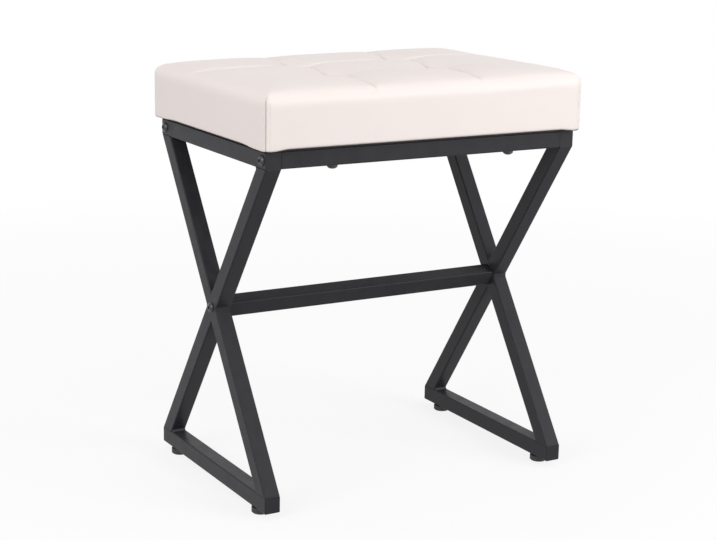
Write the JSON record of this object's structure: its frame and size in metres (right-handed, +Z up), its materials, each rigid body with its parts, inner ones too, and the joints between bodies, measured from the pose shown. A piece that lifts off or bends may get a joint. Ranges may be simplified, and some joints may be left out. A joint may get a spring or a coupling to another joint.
{
  "type": "x frame stool",
  "caption": "Low vanity stool with a tufted upholstered box seat on a square-tube steel frame whose crossed side legs are tied by a stretcher; levelling feet.",
  "frame": {"origin": "on the floor under the middle of the stool, feet screwed fully in", "axes": "+Z up, +X to the right seen from the front, along the long rails and the stretcher, +Y from the front rail to the rear rail"},
  "size_m": [0.41, 0.292, 0.4834],
  "materials": {
    "frame_coat": "satin powder coat, charcoal black, faint grain",
    "bolt_black": "semi-gloss black",
    "zinc_steel": "bright zinc plate",
    "plug_steel": "plain machined steel",
    "pad_plastic": "matt moulded",
    "plywood": "raw plywood",
    "foam": "open-cell upholstery foam",
    "tie_cord": "twisted cord",
    "cover_cream": "smooth satin cream coated fabric, soft wrinkles at the tufts",
    "dust_fabric": "thin black non-woven"
  },
  "bodies": {
    "frame": {"cover_staples": "zinc_steel", "dust_cover": "dust_fabric", "dust_cover_staples": "zinc_steel", "foam_core": "foam", "front_rail": "frame_coat", "front_rail_plugs": "plug_steel", "left_bottom_rail": "frame_coat", "left_bottom_rail_caps": "frame_coat", "left_foot_nuts": "zinc_steel", "left_long_diagonal": "frame_coat", "left_lower_half_diagonal": "frame_coat", "left_side_bolts": "bolt_black", "left_top_rail": "frame_coat", "left_top_rail_caps": "frame_coat", "left_upper_half_diagonal": "frame_coat", "left_weld_beads": "frame_coat", "rear_rail": "frame_coat", "rear_rail_plugs": "plug_steel", "right_bottom_rail": "frame_coat", "right_bottom_rail_caps": "frame_coat", "right_foot_nuts": "zinc_steel", "right_long_diagonal": "frame_coat", "right_lower_half_diagonal": "frame_coat", "right_side_bolts": "bolt_black", "right_top_rail": "frame_coat", "right_top_rail_caps": "frame_coat", "right_upper_half_diagonal": "frame_coat", "right_weld_beads": "frame_coat", "seat_board": "plywood", "seat_bolts": "bolt_black", "seat_cover": "cover_cream", "seat_washers": "zinc_steel", "stretcher": "frame_coat", "stretcher_plugs": "plug_steel", "tee_nuts": "zinc_steel", "tuft_ties": "tie_cord"},
    "front_left_stud": {"front_left_foot_stud": "zinc_steel"},
    "front_left_pad": {"front_left_foot_pad": "pad_plastic"},
    "front_right_stud": {"front_right_foot_stud": "zinc_steel"},
    "front_right_pad": {"front_right_foot_pad": "pad_plastic"},
    "rear_left_stud": {"rear_left_foot_stud": "zinc_steel"},
    "rear_left_pad": {"rear_left_foot_pad": "pad_plastic"},
    "rear_right_stud": {"rear_right_foot_stud": "zinc_steel"},
    "rear_right_pad": {"rear_right_foot_pad": "pad_plastic"}
  },
  "joints": [
    {"name": "front_left_foot_height", "type": "slide", "parent": "frame", "child": "front_left_stud", "axis": [0, 0, -1], "range_m": [0, 0.006]},
    {"name": "front_left_foot_turn", "type": "hinge", "parent": "front_left_stud", "child": "front_left_pad", "pos_m": [-0.1905, -0.11, 0.0034], "axis": [0, 0, -1], "range_deg": [0, 2160]},
    {"name": "front_right_foot_height", "type": "slide", "parent": "frame", "child": "front_right_stud", "axis": [0, 0, -1], "range_m": [0, 0.006]},
    {"name": "front_right_foot_turn", "type": "hinge", "parent": "front_right_stud", "child": "front_right_pad", "pos_m": [0.1905, -0.11, 0.0034], "axis": [0, 0, -1], "range_deg": [0, 2160]},
    {"name": "rear_left_foot_height", "type": "slide", "parent": "frame", "child": "rear_left_stud", "axis": [0, 0, -1], "range_m": [0, 0.006]},
    {"name": "rear_left_foot_turn", "type": "hinge", "parent": "rear_left_stud", "child": "rear_left_pad", "pos_m": [-0.1905, 0.11, 0.0034], "axis": [0, 0, -1], "range_deg": [0, 2160]},
    {"name": "rear_right_foot_height", "type": "slide", "parent": "frame", "child": "rear_right_stud", "axis": [0, 0, -1], "range_m": [0, 0.006]},
    {"name": "rear_right_foot_turn", "type": "hinge", "parent": "rear_right_stud", "child": "rear_right_pad", "pos_m": [0.1905, 0.11, 0.0034], "axis": [0, 0, -1], "range_deg": [0, 2160]}
  ],
  "couplings": [
    {"joint": "front_left_foot_height", "follows": "front_left_foot_turn", "m_per_rad": 0.00015915},
    {"joint": "front_right_foot_height", "follows": "front_right_foot_turn", "m_per_rad": 0.00015915},
    {"joint": "rear_left_foot_height", "follows": "rear_left_foot_turn", "m_per_rad": 0.00015915},
    {"joint": "rear_right_foot_height", "follows": "rear_right_foot_turn", "m_per_rad": 0.00015915}
  ]
}
